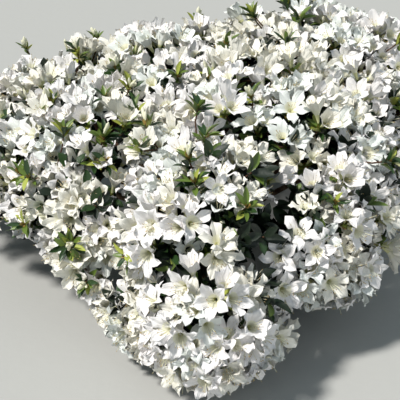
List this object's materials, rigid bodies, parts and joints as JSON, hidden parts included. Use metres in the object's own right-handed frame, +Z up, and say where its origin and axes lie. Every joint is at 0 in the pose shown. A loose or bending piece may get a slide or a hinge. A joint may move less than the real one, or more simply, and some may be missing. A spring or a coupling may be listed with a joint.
{
  "type": "azalea shrub",
  "caption": "Low, wide evergreen shrub in full white bloom: a mound of funnel-shaped flowers on twiggy masses, carried by boughs that fork from a short stem cut flat at ground level.",
  "frame": {"origin": "middle of the flat cut under the stem, at ground level", "axes": "+Z up out of the ground; -Y the front, where the crown's narrow tongue hangs lowest and the picture looks from; +X the picture's right"},
  "size_m": [1.0849, 1.0423, 0.4358],
  "materials": {
    "bark": "rough, finely fissured grey-brown bark",
    "blossom": "soft matt white petals",
    "leaf": "leathery green leaf with a low sheen"
  },
  "bodies": {
    "root": {"stem": "bark", "bough_top": "bark", "bough_upper_1": "bark", "bough_upper_2": "bark", "bough_upper_3": "bark", "bough_upper_4": "bark", "bough_upper_5": "bark", "bough_lower_1": "bark", "bough_lower_2": "bark", "bough_lower_3": "bark", "bough_lower_4": "bark", "bough_lower_5": "bark", "bough_lower_6": "bark", "bough_lower_7": "bark", "bough_lower_8": "bark", "mass_top": "blossom", "mass_upper_1": "blossom", "mass_upper_2": "blossom", "mass_upper_3": "blossom", "mass_upper_4": "blossom", "mass_upper_5": "blossom", "mass_lower_1": "blossom", "mass_lower_2": "blossom", "mass_lower_3": "blossom", "mass_lower_4": "blossom", "mass_lower_5": "blossom", "mass_lower_6": "blossom", "mass_lower_7": "blossom", "mass_lower_8": "blossom"}
  },
  "joints": []
}
